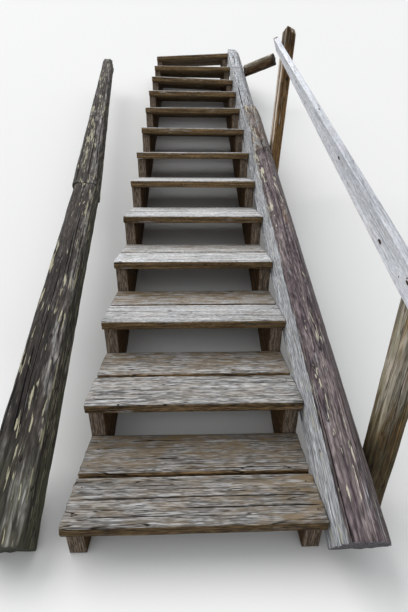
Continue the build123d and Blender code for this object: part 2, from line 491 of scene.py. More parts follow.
    def outline(self):
        """Finds how sharply the outline of the section turns all the way round, and where its arrises are."""
        line = np.linspace(0, self.section.around, self.FINE, endpoint=False)
        core, ray = self.section.rays(line)
        out = self.face_out(np.full(self.FINE, (self.low + self.high) / 2), core, ray)
        outline = core + ray * out[:, None]
        steps = max(2, int(self.FINE * self.FEEL / self.section.around))
        near = [*range(-steps, 1), *range(steps, 0, -1)]
        turn = np.linalg.norm(outline - sum(np.roll(outline, k, 0) for k in near) / len(near), axis=1)
        self.turn = turn / max(turn.max(), 0.5 * MM)
        peak = np.max([np.roll(self.turn, k) for k in near], axis=0)
        self.arrises = line[(self.turn >= peak) & (self.turn > 0.45)]

    def sharpness(self, place):
        """How sharply the outline turns at places round it: 0 on a flat face, 1 on the sharpest arris."""
        line = np.linspace(0, self.section.around, self.FINE + 1)
        return np.interp(np.mod(place, self.section.around), line, np.append(self.turn, self.turn[0]))

    def cap(self, row, share):
        """One ring of an end face, drawn in from its rim and laid on the solid's own end."""
        first = row == 0
        rim, heart = self.points[row], self.hearts[row]
        inner = heart + (rim - heart) * share
        way = self.axes[0] if first else -self.axes[0]
        beyond = self.low - self.BEYOND if first else self.high + self.BEYOND
        start = inner + np.outer(beyond - inner @ self.axes[0], self.axes[0])
        gap = self.cast(start, np.tile(way, (len(start), 1)), (self.high - self.low) / 2)
        gap = np.where(np.isnan(gap), np.nanmean(gap), gap) + share * self.torn[0 if first else 1]
        return start + way * gap[:, None]

    def normals(self):
        """Directions of the faces at each point, from the rings themselves."""
        around = np.roll(self.points, -1, 1) - np.roll(self.points, 1, 1)
        along = np.gradient(self.points, axis=0)
        made = np.cross(around, along)
        made /= np.maximum(np.linalg.norm(made, axis=-1, keepdims=True), 1e-12)
        return made * np.sign((made * self.ways).sum(-1, keepdims=True))

    def piece(self, name, slot, material, wear, inset=(0.86, 0.6)):
        """Makes the mesh that stands for the CAD node, with the values that its material reads.

        wear is given where each point lies on the timber, and gives back by name what the weather did to it:
        how far it has silvered, how much film covers it, how bright it is and how thick flakes lie on it.
        Inset says how far out the rings of the end faces lie, as shares of their rim.
        """
        layers = [self.cap(0, share) for share in inset[::-1]]
        layers.extend(self.points)
        layers.extend(self.cap(-1, share) for share in inset)
        layers = np.array(layers)
        total, cols = layers.shape[:2]
        index = np.arange(total * cols).reshape(total, cols)
        faces = corners(index).tolist() + [index[0].tolist()[::-1], index[-1].tolist()]
        mesh = bpy.data.meshes.new(name)
        mesh.from_pydata(layers.reshape(-1, 3).tolist(), [], faces)
        reach = ends_repeated(self.reach, len(inset)) - self.low
        self.store_grain(mesh, reach)
        self.store_wear(mesh, layers, reach, wear)
        finish_piece(name, mesh, slot, material, self.node)

    def store_grain(self, mesh, reach):
        """Gives each face corner its place along and round the timber, and beside its nearest knot."""
        corner_s = corners(reach)
        corner_t = corners(np.tile(self.place, (len(reach), 1)), self.section.around)
        ends_s = np.concatenate([reach[0][::-1], reach[-1]])
        ends_t = np.concatenate([self.place[::-1], self.place])
        all_s = np.concatenate([corner_s.ravel(), ends_s])
        all_t = np.concatenate([corner_t.ravel(), ends_t])
        offset = self.rng.uniform(3, 40, 3)
        grain = np.stack([all_s + offset[0], all_t + offset[1], np.full_like(all_s, offset[2])], -1)
        store(mesh, "grain", "FLOAT_VECTOR", "CORNER", grain)
        store(mesh, "knot", "FLOAT_VECTOR", "CORNER", self.knot_offsets(corner_s, corner_t, len(ends_s)))

    def store_wear(self, mesh, layers, reach, wear):
        """Gives each point its wear, its place about the tree's heart, how far it is end, and how much
        painted shade darkens it in a check.
        """
        total, cols = layers.shape[:2]
        extra = (total - len(self.reach)) // 2
        normal = np.zeros_like(layers)
        normal[:extra] = -self.axes[0]
        normal[extra:total - extra] = self.normals()
        normal[total - extra:] = self.axes[0]
        flat = ends_repeated(self.flat, extra)
        share = reach / (self.high - self.low)
        face = SimpleNamespace(normal=normal, share=share, across=flat[..., 0], deep=flat[..., 1])
        worn = {"film": 0.0, "tone": 1.0, "flaky": 0.0, **wear(face)}
        worn["tone"] = worn["tone"] * self.rng.uniform(0.94, 1.06)
        heart = layers.reshape(-1, 3) @ self.axes.T
        share = share.reshape(-1, 1)
        centre = self.ends[0] * (1 - share) + self.ends[1] * share
        heart[:, 1:] -= centre + self.rng.uniform(-0.8, 0.8, 2) * self.half
        worn["end"] = np.ones((total, cols))
        worn["end"][extra + 1:total - extra - 1] = 0
        worn["crack"] = np.pad(self.crack, ((extra, extra), (0, 0)))
        store(mesh, "heart", "FLOAT_VECTOR", "POINT", heart)
        for key, value in worn.items():
            store(mesh, key, "FLOAT", "POINT", np.broadcast_to(value, (total, cols)))

    def knot_offsets(self, corner_s, corner_t, end_corners):
        """How far each face corner lies from its nearest knot, along and round, and that knot's radius."""
        around = self.section.around
        made = np.tile(NO_KNOT, (*corner_s.shape, 1))
        best = np.full(len(corner_s), np.inf)
        for knot_s, knot_t, radius in self.knots:
            ds = corner_s - knot_s
            middle = corner_t.mean(1, keepdims=True)
            near = middle - knot_t - around * np.round((middle - knot_t) / around)
            dt = corner_t - middle + near
            gap = np.hypot(ds.mean(1) * KNOT_SQUAT, dt.mean(1)) / radius
            closer = gap < best
            best = np.where(closer, gap, best)
            made[closer] = np.stack([ds, dt, np.full_like(ds, radius)], -1)[closer]
        ends = np.tile(NO_KNOT, (end_corners, 1))
        return np.concatenate([made.reshape(-1, 3), ends])


def corners(grid, lap=0):
    """Values at the four corners of each face of a grid that closes sideways, one lap further on."""
    closed = np.append(grid, grid[:, :1] + lap, 1)
    faces = np.stack([closed[:-1, :-1], closed[:-1, 1:], closed[1:, 1:], closed[1:, :-1]], -1)
    return faces.reshape(-1, 4)


def ends_repeated(grid, count):
    """A grid of rings with its first and last ring some times more, for the rings of the end faces."""
    return np.pad(grid, ((count, count),) + ((0, 0),) * (grid.ndim - 1), mode="edge")


def store(mesh, name, kind, domain, values):
    """Writes one named value for each point or face corner."""
    attribute = mesh.attributes.new(name, kind, domain)
    field = "vector" if kind == "FLOAT_VECTOR" else "value"
    attribute.data.foreach_set(field, np.asarray(values, dtype=np.float32).ravel())


# Faces that meet at a larger angle than this keep a sharp edge in the shading
SHARP_FROM = math.radians(38)


def finish_piece(name, mesh, slot, material, *nodes):
    """Links a finished mesh, gives it its material and lets it ride in place of its CAD nodes."""
    piece = bpy.data.objects.new(name, mesh)
    bpy.context.scene.collection.objects.link(piece)
    work = bmesh.new()
    work.from_mesh(mesh)
    bmesh.ops.recalc_face_normals(work, faces=work.faces)
    work.to_mesh(mesh)
    work.free()
    mesh.shade_smooth()
    mesh.set_sharp_from_angle(angle=SHARP_FROM)
    mesh.materials.append(material)
    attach(piece, BODY)
    if nodes:
        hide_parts(*nodes)


# Settings that many nodes share
PLUS = {"operation": "ADD"}
MINUS = {"operation": "SUBTRACT"}
TIMES = {"operation": "MULTIPLY"}
TIMES_PLUS = {"operation": "MULTIPLY_ADD"}
SMOOTH = {"interpolation_type": "SMOOTHSTEP"}
COLOURS = {"data_type": "RGBA", "out": 2}


def add(tree, kind, *inputs, out=0, **settings):
    """Adds one shader node with its settings and links, and returns one of its outputs, or all for None.

    Inputs come in the node's own order, or in a dict by number or name. Sockets are linked and values set.
    """
    made = tree.nodes.new(f"ShaderNode{kind}")
    for key, value in settings.items():
        setattr(made, key, value)
    for place, given in enumerate(inputs):
        for key, value in (given if isinstance(given, dict) else {place: given}).items():
            if isinstance(value, bpy.types.NodeSocket):
                tree.links.new(value, made.inputs[key])
            else:
                made.inputs[key].default_value = value
    return made.outputs if out is None else made.outputs[out]


def empty_tree(owner):
    """The node tree of a material or a world, with nothing in it."""
    owner.use_nodes = True
    owner.node_tree.nodes.clear()
    return owner.node_tree


def grain_round_knots(tree):
    """The place on the timber, with the grain parted round its knots as water parts round a post.

    Also gives how many of its radii away the nearest knot lies.
    """
    knot = add(tree, "Attribute", attribute_name="knot", out="Vector")
    aside = add(tree, "SeparateXYZ", knot, out=None)
    gap = add(tree, "CombineXYZ", add(tree, "Math", aside[0], KNOT_SQUAT, **TIMES), aside[1])
    gap = add(tree, "VectorMath", gap, operation="LENGTH", out="Value")
    radii = add(tree, "Math", gap, aside[2], operation="DIVIDE")
    uneven = add(tree, "TexNoise", {"Vector": knot, "Scale": 1 / (9 * MM), "Detail": 2.0})
    uneven = add(tree, "MapRange", uneven, 0.0, 1.0, 0.55, 1.45)
    radii = add(tree, "Math", radii, uneven, **TIMES)
    pull = add(tree, "Math", radii, 1.0, operation="MAXIMUM")
    pull = add(tree, "Math", pull, -2.0, operation="POWER")
    shift = add(tree, "Math", aside[1], pull, **TIMES)
    grain = add(tree, "Attribute", attribute_name="grain", out="Vector")
    place = add(tree, "SeparateXYZ", grain, out=None)
    around = add(tree, "Math", place[1], shift, **MINUS)
    return add(tree, "CombineXYZ", place[0], around, place[2]), radii


def grain_patterns(tree, flow, stretches, roughness=0.55, shift=0.0):
    """Noises stretched along the grain, each with its length and width in millimetres and its detail."""
    made = {}
    for name, (along, across, detail) in stretches.items():
        scale = (1 / (along * MM), 1 / (across * MM), 1.0)
        spot = add(tree, "VectorMath", flow, scale, (shift, 0, 0), **TIMES_PLUS)
        inputs = {"Vector": spot, "Scale": 1.0, "Detail": detail, "Roughness": roughness}
        made[name] = add(tree, "TexNoise", inputs)
    return made


def growth_rings(tree):
    """Rings about the heart of the tree, from 0 to 1, for the end grain."""
    heart = add(tree, "Attribute", attribute_name="heart", out="Vector")
    parts = add(tree, "SeparateXYZ", heart, out=None)
    flat = add(tree, "CombineXYZ", parts[1], parts[2])
    wander = add(tree, "TexNoise", {"Vector": flat, "Scale": 14.0, "Detail": 2.0})
    wander = add(tree, "Math", wander, RING_WANDER, **TIMES)
    ring = add(tree, "VectorMath", flat, operation="LENGTH", out="Value")
    ring = add(tree, "Math", ring, 2 * math.pi / RING_WIDTH, wander, **TIMES_PLUS)
    ring = add(tree, "Math", ring, operation="SINE")
    return add(tree, "MapRange", ring, -0.8, 0.9, **SMOOTH)


def clinging_flakes(tree, flow, exposed, flaked):
    """Cover of old bast: strips along the grain, thickest where the silvered face meets the dark one."""
    along, across, cover = flaked
    strips = grain_patterns(tree, flow, {"strip": (along, across, 2.5)}, 0.6)["strip"]
    clumps = grain_patterns(tree, flow, {"clump": (420, 90, 2.0)}, 0.6, shift=30.0)["clump"]
    clumps = add(tree, "MapRange", clumps, 0.4, 0.65, 0.0, 0.12, **SMOOTH)
    border = add(tree, "Math", exposed, 0.5, **MINUS)
    border = add(tree, "Math", border, operation="ABSOLUTE")
    border = add(tree, "Math", border, -0.12, 0.06, **TIMES_PLUS)
    border = add(tree, "Math", border, 0.0, operation="MAXIMUM")
    flaky = add(tree, "Attribute", attribute_name="flaky", out="Fac")
    thick = add(tree, "Math", strips, clumps, **PLUS)
    thick = add(tree, "Math", thick, border, **PLUS)
    thick = add(tree, "Math", flaky, 0.13, thick, **TIMES_PLUS)
    thin = 0.74 - 0.1 * cover
    return add(tree, "MapRange", thick, thin, thin + 0.03, **SMOOTH)


def timber_material(
    name, finish, names=("silver", "shade", "brown", "umber"), film_colour=linear("#6e5a44"),
    band=9.0, fibre=3.0, streak=(300, 6), streaked=0.25, speck=(18, 4), speckled=0.5,
    ridge=1.0, lined=0.75, flake=None, flaked=(80, 7, 0.4),
):
    """Weathered softwood: silver where rain and sun reach, brown where they don't, ridged along the grain.

    Names are those of the finish's four wood colours. Band and fibre are the widths across the grain, in
    millimetres, of the growth bands and of the fibres. Streak and speck are the length and width of the
    long streaks and of the short specks of worn wood, drawn as coarse as they need to be to show in the
    render, and streaked and speckled say how far those darken and lighten it. Ridge scales the height of
    the bands, and lined says how dark the hairline checks are. Flaked is the length and width of the
    flakes, and how thick they lie, from 0 to 1.
    """
    silver, shade, brown, umber = (getattr(finish, key)[:] for key in names)
    material = bpy.data.materials.new(name)
    tree = empty_tree(material)
    keys = ("weather", "crack", "film", "tone", "end")
    worn = {key: add(tree, "Attribute", attribute_name=key, out="Fac") for key in keys}
    flow, radii = grain_round_knots(tree)
    patterns = grain_patterns(tree, flow, {
        "fibre": (110, fibre, 3.0),
        "streak": (*streak, 2.0),
        "speck": (*speck, 1.0),
        "band": (420, band, 2.0),
        "stain": (260, 55, 3.0),
        "frayed": (140, 14, 3.0),
        "hairline": (300, band * 1.6, 1.0),
        "blotch": (90, 30, 3.0),
    })

    # Silvered and brown wood, both banded, with a frayed border between them
    fibres = add(tree, "MapRange", patterns["fibre"], 0.3, 0.7, 0.0, 0.4, **SMOOTH)
    banded = add(tree, "MapRange", patterns["band"], 0.36, 0.66, 0.0, 0.6, **SMOOTH)
    banded = add(tree, "Math", banded, fibres, **PLUS)
    silvered = add(tree, "Mix", {0: banded, 6: shade, 7: silver}, **COLOURS)
    browned = add(tree, "Mix", {0: banded, 6: umber, 7: brown}, **COLOURS)
    exposed = worn["weather"]
    for key, reach in (("stain", 0.9), ("frayed", 1.5)):
        stray = add(tree, "Math", patterns[key], 0.5, **MINUS)
        exposed = add(tree, "Math", stray, reach, exposed, **TIMES_PLUS)
    exposed = add(tree, "MapRange", exposed, 0.3, 0.72, **SMOOTH)
    face = add(tree, "Mix", {0: exposed, 6: browned, 7: silvered}, **COLOURS)
    warm = add(tree, "MapRange", patterns["blotch"], 0.48, 0.7, 0.0, 0.22, **SMOOTH)
    face = add(tree, "Mix", {0: warm, 6: face, 7: brown}, **COLOURS)

    # Darker and lighter streaks, specks and blotches
    tone = add(tree, "Math", patterns["blotch"], 0.5, 0.75, **TIMES_PLUS)
    for key, swing in (("streak", -streaked), ("speck", speckled)):
        swung = add(tree, "MapRange", patterns[key], 0.36, 0.64, 1 - swing, 1 + swing, **SMOOTH)
        tone = add(tree, "Math", tone, swung, **TIMES)
    tone = add(tree, "Math", tone, worn["tone"], **TIMES)
    tone = add(tree, "CombineColor", tone, tone, tone)
    face = add(tree, "Mix", {0: 1.0, 6: face, 7: tone}, blend_type="MULTIPLY", **COLOURS)
    rings = growth_rings(tree)
    ringed = add(tree, "Mix", {0: rings, 6: umber, 7: shade}, **COLOURS)
    ringed = add(tree, "Mix", {0: 1.0, 6: ringed, 7: tone}, blend_type="MULTIPLY", **COLOURS)

    # Knots: black split in the heart, brown wood round it, dark rim and hardly any stain beyond
    dark = tuple(0.3 * c for c in umber[:3]) + (1.0,)
    split = add(tree, "MapRange", radii, 0.3, 0.6, **SMOOTH)
    rim = add(tree, "MapRange", radii, 0.65, 0.95, **SMOOTH)
    knot_colour = add(tree, "Mix", {0: split, 6: dark, 7: umber}, **COLOURS)
    knot_colour = add(tree, "Mix", {0: rim, 6: knot_colour, 7: dark}, **COLOURS)
    stain = add(tree, "MapRange", radii, 2.2, 0.95, 0.0, 0.15, **SMOOTH)
    knots = add(tree, "MapRange", radii, 1.15, 0.9, **SMOOTH)

    # Hairline checks and open ones, on the sides of the timber only; the bottoms of the open ones are painted
    # black, which is painted shade
    side = add(tree, "Math", 1.0, worn["end"], **MINUS)
    line = add(tree, "Math", patterns["hairline"], 0.5, **MINUS)
    line = add(tree, "Math", line, operation="ABSOLUTE")
    line = add(tree, "MapRange", line, 0.022, 0.005, **SMOOTH)
    broken = add(tree, "MapRange", patterns["stain"], 0.40, 0.55, **SMOOTH)
    line = add(tree, "Math", line, broken, **TIMES)
    line = add(tree, "Math", line, side, **TIMES)
    black = tuple(0.12 * c for c in umber[:3]) + (1.0,)
    lines = add(tree, "Math", line, lined, **TIMES)
    painted_check_shade = add(tree, "MapRange", worn["crack"], 0.05, 0.5, **SMOOTH)
    checks = add(tree, "Math", lines, painted_check_shade, operation="MAXIMUM")

    # Film of dirt, bark or algae, thinner between the blotches and frayed along the grain
    film = worn["film"]
    for key, least in (("blotch", 0.3), ("frayed", 0.5)):
        thin = add(tree, "MapRange", patterns[key], 0.35, 0.6, least, 1.0, **SMOOTH)
        film = add(tree, "Math", film, thin, **TIMES)

    # Each layer of colour over the last, and what each pattern adds to the height
    layers = [(worn["end"], ringed), (stain, brown), (knots, knot_colour)]
    raised_rings = add(tree, "Math", rings, worn["end"], **TIMES)
    heights = [(patterns["band"], 1.3 * ridge), (patterns["fibre"], 0.7), (patterns["speck"], 1.0)]
    heights += [(patterns["streak"], -1.0), (line, -1.6), (raised_rings, 0.8)]
    if flake:
        flakes = clinging_flakes(tree, flow, exposed, flaked)
        flakes = add(tree, "Math", flakes, side, **TIMES)
        layers.append((add(tree, "Math", flakes, 0.85, **TIMES), flake[:]))
        heights.append((flakes, 1.4))
    layers += [(film, film_colour), (checks, black)]
    for share, over in layers:
        face = add(tree, "Mix", {0: share, 6: face, 7: over}, **COLOURS)
    height = 0.0
    for pattern, amount in heights:
        height = add(tree, "Math", pattern, amount, height, **TIMES_PLUS)

    bump = add(tree, "Bump", {"Strength": 1.0, "Distance": BUMP_HEIGHT, "Height": height})
    rough = add(tree, "Math", patterns["fibre"], 0.14, 0.76, **TIMES_PLUS)
    inputs = {"Base Color": face, "Roughness": rough, "Normal": bump, "IOR": 1.45, "Specular IOR Level": 0.3}
    shader = add(tree, "BsdfPrincipled", inputs)
    add(tree, "OutputMaterial", {"Surface": shader}, out=None)
    return material


def weathered_relief(ridge, cell=7.0, dents=0.8):
    """Relief of weathered wood, as a depth below the sawn face: ridged along the grain and gently dented.

    Ridge is a height in metres. Cell is the width from ridge to ridge and dents their depth, in millimetres.
    """
    waves = ((ridge, 0.28, cell * MM), (dents * MM, 0.05, 0.028), (1.3 * MM, 0.4, 0.12))

    def relief(timber, reach, spread):
        around = timber.section.around
        return sum(
            height * (1 + hills(timber.rng, reach, spread, long, wide, around)) / 2
            for height, long, wide in waves
        )

    return relief


def rained_on(normal, least, most):
    """Silver on faces that look up, brown on the rest."""
    return least + (most - least) * smooth_step(0.35, 0.8, normal[..., 2])


class STAIR_OT_treads(bpy.types.Operator):
    """Dress the tread planks as silvered, checked spruce"""

    bl_idname = "stair.treads"
    bl_label = "Tread planks"

    # The lowest treads stay damp and dark, and each one above is brighter
    DAMP_STEPS = 2
    DAMP_TONE = 0.39
    DRIER_EACH_STEP = 0.19
    # Steps up to which the fronts are painted a little darker, as painted shade of the plants before them,
    # and from which no tread is damp
    SHADED_FRONTS = 5
    DRY_FROM = 3.5
    # Dirt on the back planks, by step, and on those further up
    BACK_DIRT = {1: 1.1, 2: 1.1, 3: 1.4, 4: 0.8}
    DRY_BACK_DIRT = 0.15
    # Long open checks of the lowest plank: start and end in shares of its length, then place, depth and
    # width in mm
    BOTTOM_CHECKS = (
        (0.04, 0.95, 5, 14, 9),
        (0.47, 0.98, -32, 12, 6),
        (0.10, 0.42, -60, 9, 4.5),
        (0.08, 0.34, 2, 9, 5),
        (0.30, 0.62, 38, 5, 3.0),
    )

    def execute(self, context):
        relief, finish = context.scene.stair_relief, context.scene.stair_treads
        # Sawn spruce plank, rained on for years: silver top with a soft sheen, brown where it stays dry
        dry = timber_material("silvered spruce plank", finish, speckled=0.28, film_colour=finish.dirt[:])
        # The same plank where it stays damp: the soft early wood has gone and the late wood stands out dark
        damp = timber_material(
            "damp silvered spruce plank", finish, film_colour=finish.dirt[:], streak=(220, 6), streaked=0.32,
            speck=(38, 4), speckled=0.55, ridge=1.5, lined=1.0,
        )
        for number, node in enumerate(TREADS):
            timber = Timber(node, (1, 0, 0), (0, 1, 0), (0, 0, 1), 100 + number)
            step, place = int(node.split("_")[1]), node.split("_")[2]
            is_damp = step <= self.DAMP_STEPS
            if node == "tread_01_front":
                for start, end, across, depth, width in self.BOTTOM_CHECKS:
                    where = timber.section.where(across * MM, timber.half[1])
                    timber.check(where, start, end, depth * MM, width * MM)
            else:
                self.add_checks(timber, relief)
            timber.rings(
                step=12 * MM, fine=6.5 * MM, coarse=24 * MM, hidden=0.32,
                relief=weathered_relief(relief.ridge), wander=relief.wander * 0.6,
                worn=relief.edge_wear * (1.4 if is_damp else 1.0), ragged=(6 if step == 1 else 2.5) * MM,
            )
            material = damp if is_damp else dry
            wear = self.wear_of(step, place == "back")
            timber.piece(f"plank_{step:02d}_{place}", "tread_plank", material, wear)
        return {"FINISHED"}

    def wear_of(self, step, back):
        """The lowest treads are damp and darker, the fronts of the lower ones carry painted shade, and dirt
        lies on the backs of the lower ones.
        """
        dry_tone = min(1.0, self.DAMP_TONE + self.DRIER_EACH_STEP * (step - 1))
        damp = max(0.0, 1 - step / self.DRY_FROM)
        painted_front_shade = 0.2 if step <= self.SHADED_FRONTS else 0.0

        def wear(face):
            up = smooth_step(0.3, 0.8, face.normal[..., 2])
            if back:
                dirt = self.BACK_DIRT.get(step, self.DRY_BACK_DIRT) * (0.75 + 0.25 * face.across)
            else:
                right_end = smooth_step(0.6, 0.95, face.share) if step == 1 else 0.0
                dirt = 0.62 * damp + 0.45 * right_end
            # Tops darken on the damp steps, and the fronts of the lower steps are darkened as painted shade
            tone = (1 + (dry_tone - 1) * up) * (1 - painted_front_shade * (1 - up))
            silver = rained_on(face.normal, 0.1, 1.15 - 0.4 * damp)
            return {"weather": silver, "film": dirt * up, "tone": tone}

        return wear

    def add_checks(self, timber, relief):
        """A few checks from the ends and a few within, on the upper face, and a knot or two."""
        rng, section = timber.rng, timber.section
        wide = timber.half[0] * 0.86
        places = rng.permutation(np.linspace(-wide, wide, 9))[:rng.integers(4, 7)]
        for place in places:
            long = rng.uniform(0.12, 0.5)
            start = rng.choice([-0.02, 1.02 - long, rng.uniform(0, 1 - long)])
            deep = relief.plank_check * rng.uniform(0.4, 1.0)
            timber.check(section.where(place, timber.half[1]), start, start + long, deep,
                         relief.plank_check_width * rng.uniform(0.6, 1.1))
        for _ in range(rng.integers(0, 3)):
            spot = section.where(rng.uniform(-wide, wide), timber.half[1])
            timber.knot(spot, rng.uniform(0.08, 0.92), rng.uniform(3, 6) * MM)
        front = section.where(-timber.half[0], rng.uniform(-0.5, 0.5) * timber.half[1])
        timber.check(front, rng.uniform(0, 0.3), rng.uniform(0.6, 1.0), 0.5 * relief.plank_check, 2.2 * MM)


class STAIR_OT_stringers(bpy.types.Operator):
    """Dress the two cut stringers as brown sawn planks"""

    bl_idname = "stair.stringers"
    bl_label = "Cut stringers"

    # Width of the eased edges, and of the net's meshes along X, Y and Z
    EASE = 3 * MM
    NET = (16 * MM, 24 * MM, 24 * MM)

    def execute(self, context):
        finish = context.scene.stair_posts
        # Sawn pine plank under the treads: dry and brown, with the saw's fine lines still on it
        material = timber_material(
            "brown sawn pine plank", finish, band=12,
            names=("silver", "shade", "stringer_brown", "stringer_umber"),
        )
        for number, node in enumerate(("left_stringer", "right_stringer")):
            self.dress(node, material, np.random.default_rng(300 + number))
        return {"FINISHED"}

    def net(self, node):
        """The solid's faces cut into a fine net, with eased edges."""
        work = bmesh.new()
        work.from_mesh(frame["nodes"][node].data)
        bmesh.ops.remove_doubles(work, verts=work.verts, dist=0.01 * MM)
        bmesh.ops.dissolve_limit(
            work, angle_limit=math.radians(1), verts=work.verts, edges=work.edges,
            use_dissolve_boundaries=False,
        )
        sharp = [edge for edge in work.edges if edge.calc_face_angle(0) > math.radians(20)]
        bmesh.ops.bevel(
            work, geom=sharp, offset=self.EASE, segments=2, profile=0.5, affect="EDGES", clamp_overlap=True
        )
        low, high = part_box(node)
        for axis in (1, 2, 0):
            step = self.NET[axis]
            normal = Vector([float(k == axis) for k in range(3)])
            for place in np.arange(low[axis] + step / 2, high[axis], step):
                geometry = work.verts[:] + work.edges[:] + work.faces[:]
                spot = normal * place
                bmesh.ops.bisect_plane(work, geom=geometry, dist=0.05 * MM, plane_co=spot, plane_no=normal)
        bmesh.ops.triangulate(work, faces=[face for face in work.faces if len(face.verts) > 4])
        mesh = bpy.data.meshes.new(f"{node}_worn")
        work.to_mesh(mesh)
        work.free()
        return mesh

    def dress(self, node, material, rng):
        """Lets the weather into the net, and gives each point what the material reads."""
        mesh = self.net(node)
        points = np.array([vertex.co for vertex in mesh.vertices])
        normals = np.array([vertex.normal for vertex in mesh.vertices])
        along, deep, across = points @ UPHILL, points @ OUT_OF_SLOPE, points[:, 0]
        depth = 0.9 * MM * (1 + hills(rng, along, deep + across, 0.25, 0.009)) / 2
        depth += 1.2 * MM * (1 + hills(rng, along, deep - across, 0.09, 0.05)) / 2
        points -= normals * depth[:, None]
        mesh.vertices.foreach_set("co", points.astype(np.float32).ravel())
        count = len(points)
        around = np.where(np.abs(normals @ ACROSS) > 0.5, deep, across)
        grain = np.stack([along + 7, around + 5, across * 0 + rng.uniform(3, 9)], -1)
        store(mesh, "grain", "FLOAT_VECTOR", "POINT", grain)
        store(mesh, "knot", "FLOAT_VECTOR", "POINT", np.tile(NO_KNOT, (count, 1)))
        store(mesh, "heart", "FLOAT_VECTOR", "POINT", np.stack([along, across, deep], -1))
        worn = {
            "weather": 0.06 + 0.4 * smooth_step(0.6, 0.95, normals[:, 2]),
            "end": 0.75 * smooth_step(0.6, 0.9, np.abs(normals[:, 1])),
            "tone": np.full(count, rng.uniform(0.9, 1.1)),
            "crack": np.zeros(count),
            "film": np.zeros(count),
        }
        for key, value in worn.items():
            store(mesh, key, "FLOAT", "POINT", value)
        finish_piece(f"{node}_worn", mesh, "stringer_plank", material, node)


class STAIR_OT_side_log(bpy.types.Operator):
    """Dress the three lengths of the hewn side log"""

    bl_idname = "stair.side_log"
    bl_label = "Side log"

    # On the flank of the lowest length, silver gives way to plum at this height, and strays this far from it
    BORDER = 0.74
    STRAY = 0.07
    # Half the strays' height and how fast they come along the log, for three waves laid over each other
    WAVES = ((0.5, 31), (0.3, 83), (0.2, 197))
    # Places along the lowest length: a strip of brown bark, where flakes begin and lie thick, and a dark
    # seam, which is painted shadow of the step between two lengths
    BARK = 0.503
    FLAKES = (0.34, 0.52)
    SEAM = 0.757
    # Places of the long checks round the section, as angles in degrees from the outer side over the crown
    CHECKS = (78, 62, 40, 15, 118, 140, 165, -10)

    def execute(self, context):
        relief, finish = context.scene.stair_relief, context.scene.stair_log
        # Hewn pine log: flank silvered smooth by rain off the treads, back plum-brown with flakes of bast
        material = timber_material(
            "hewn weathered pine log", finish, film_colour=finish.bark[:], band=12, fibre=5.0,
            streak=(130, 7), speck=(35, 6), speckled=0.35, ridge=1.6,
            flake=finish.flake, flaked=(85, 11, 0.45),
        )
        for number, part in enumerate(("lower", "middle", "upper")):
            timber = Timber(f"side_log_{part}", UPHILL, ACROSS, OUT_OF_SLOPE, 400 + number)
            self.add_checks(timber, relief)
            timber.rings(
                step=15 * MM, fine=8 * MM, coarse=20 * MM, hidden=0.2,
                relief=weathered_relief(1.6 * relief.ridge, 9, 2.2), wander=relief.wander,
                worn=2 * relief.edge_wear, ragged=4 * MM,
            )
            wear = (self.wear_lower, self.wear_middle, self.wear_upper)[number]
            timber.piece(f"log_{part}_hewn", "side_log", material, wear)
        return {"FINISHED"}

    def wear_lower(self, face):
        """Silver low on the flank, plum above with rows of flakes, bleached past a dark seam that is painted
        shadow, and past it the flank darkened by painted shade.
        """
        flank = smooth_step(0.15, 0.7, -face.normal[..., 0])
        waves = sum(size * np.sin(turns * face.share) for size, turns in self.WAVES)
        border = self.BORDER + self.STRAY * waves
        silver = flank * smooth_step(border + 0.08, border - 0.08, face.deep)
        past_seam = face.share - self.SEAM - 0.03 * face.across
        bleached = smooth_step(-0.005, 0.012, past_seam)
        seam = smooth_step(0.022, 0.005, np.abs(past_seam + 0.008))
        bark = smooth_step(0.04, 0.02, np.abs(face.share - self.BARK))
        bark = bark * smooth_step(0.1, 0.03, np.abs(face.across + 0.17))
        brown = bark * smooth_step(0.5, 0.8, face.normal[..., 2]) + 0.4 * bleached * (1 - flank)
        # Flakes lie along the border, along the inner arris and in one strip on the crown
        rows = smooth_step(0.3, 0.1, np.abs(face.deep - border)) * flank
        rows = np.maximum(rows, smooth_step(-0.65, -0.8, face.across) * (1 - flank))
        rows = np.maximum(rows, smooth_step(0.18, 0.06, np.abs(face.across + 0.1)))
        thin, thick = self.FLAKES
        rows = 0.62 * rows * smooth_step(thin, thick, face.share) * (1 - 0.6 * bleached)
        rows = rows - 0.2 * smooth_step(thick, thin, face.share)
        weather = np.maximum(0.12 + 0.85 * silver, 0.55 * bleached)
        # The seam's darkening is painted shadow, and the flank past the seam is darkened by painted shade
        tone = 0.97 - (0.1 + 0.14 * bleached) * flank - 0.35 * seam - 0.4 * bleached * (1 - flank)
        return {"weather": weather, "film": brown, "tone": tone, "flaky": rows}

    def wear_middle(self, face):
        """Greyer than the length below it, and bleached over the crown too; its lowered tone is painted shade
        of the plants over it.
        """
        facing = np.maximum(-face.normal[..., 0], 0.62 * face.normal[..., 2])
        # The whole tone of this length is lowered as painted shade
        return {"weather": 0.15 + 0.7 * smooth_step(0.15, 0.6, facing), "tone": 0.76}

    def wear_upper(self, face):
        """As the middle length, and the brightest of the three."""
        return {**self.wear_middle(face), "tone": 0.98}

    def add_checks(self, timber, relief):
        """Long checks that follow the grain along the back and the crown, short ones on the flank."""
        rng, section = timber.rng, timber.section
        span = timber.high - timber.low
        for angle in np.radians(self.CHECKS):
            place = section.where(timber.half[0] * math.cos(angle), timber.half[1] * math.sin(angle))
            place += rng.uniform(-6, 6) * MM
            for _ in range(max(1, round(span / 1.3))):
                long = min(0.9, rng.uniform(0.25, 0.8) / span)
                start = rng.uniform(-0.05, 1.0 - long)
                beside = place + rng.uniform(-12, 12) * MM
                depth = relief.log_check * rng.uniform(0.3, 0.9)
                width = relief.log_check_width * rng.uniform(0.6, 1.1)
                timber.check(beside, start, start + long, depth, width)
        for _ in range(max(2, round(span / 0.5))):
            angle = math.radians(rng.uniform(20, 190))
            place = section.where(timber.half[0] * math.cos(angle), timber.half[1] * math.sin(angle))
            timber.knot(place, rng.uniform(0.05, 0.95), rng.uniform(3, 6) * MM)


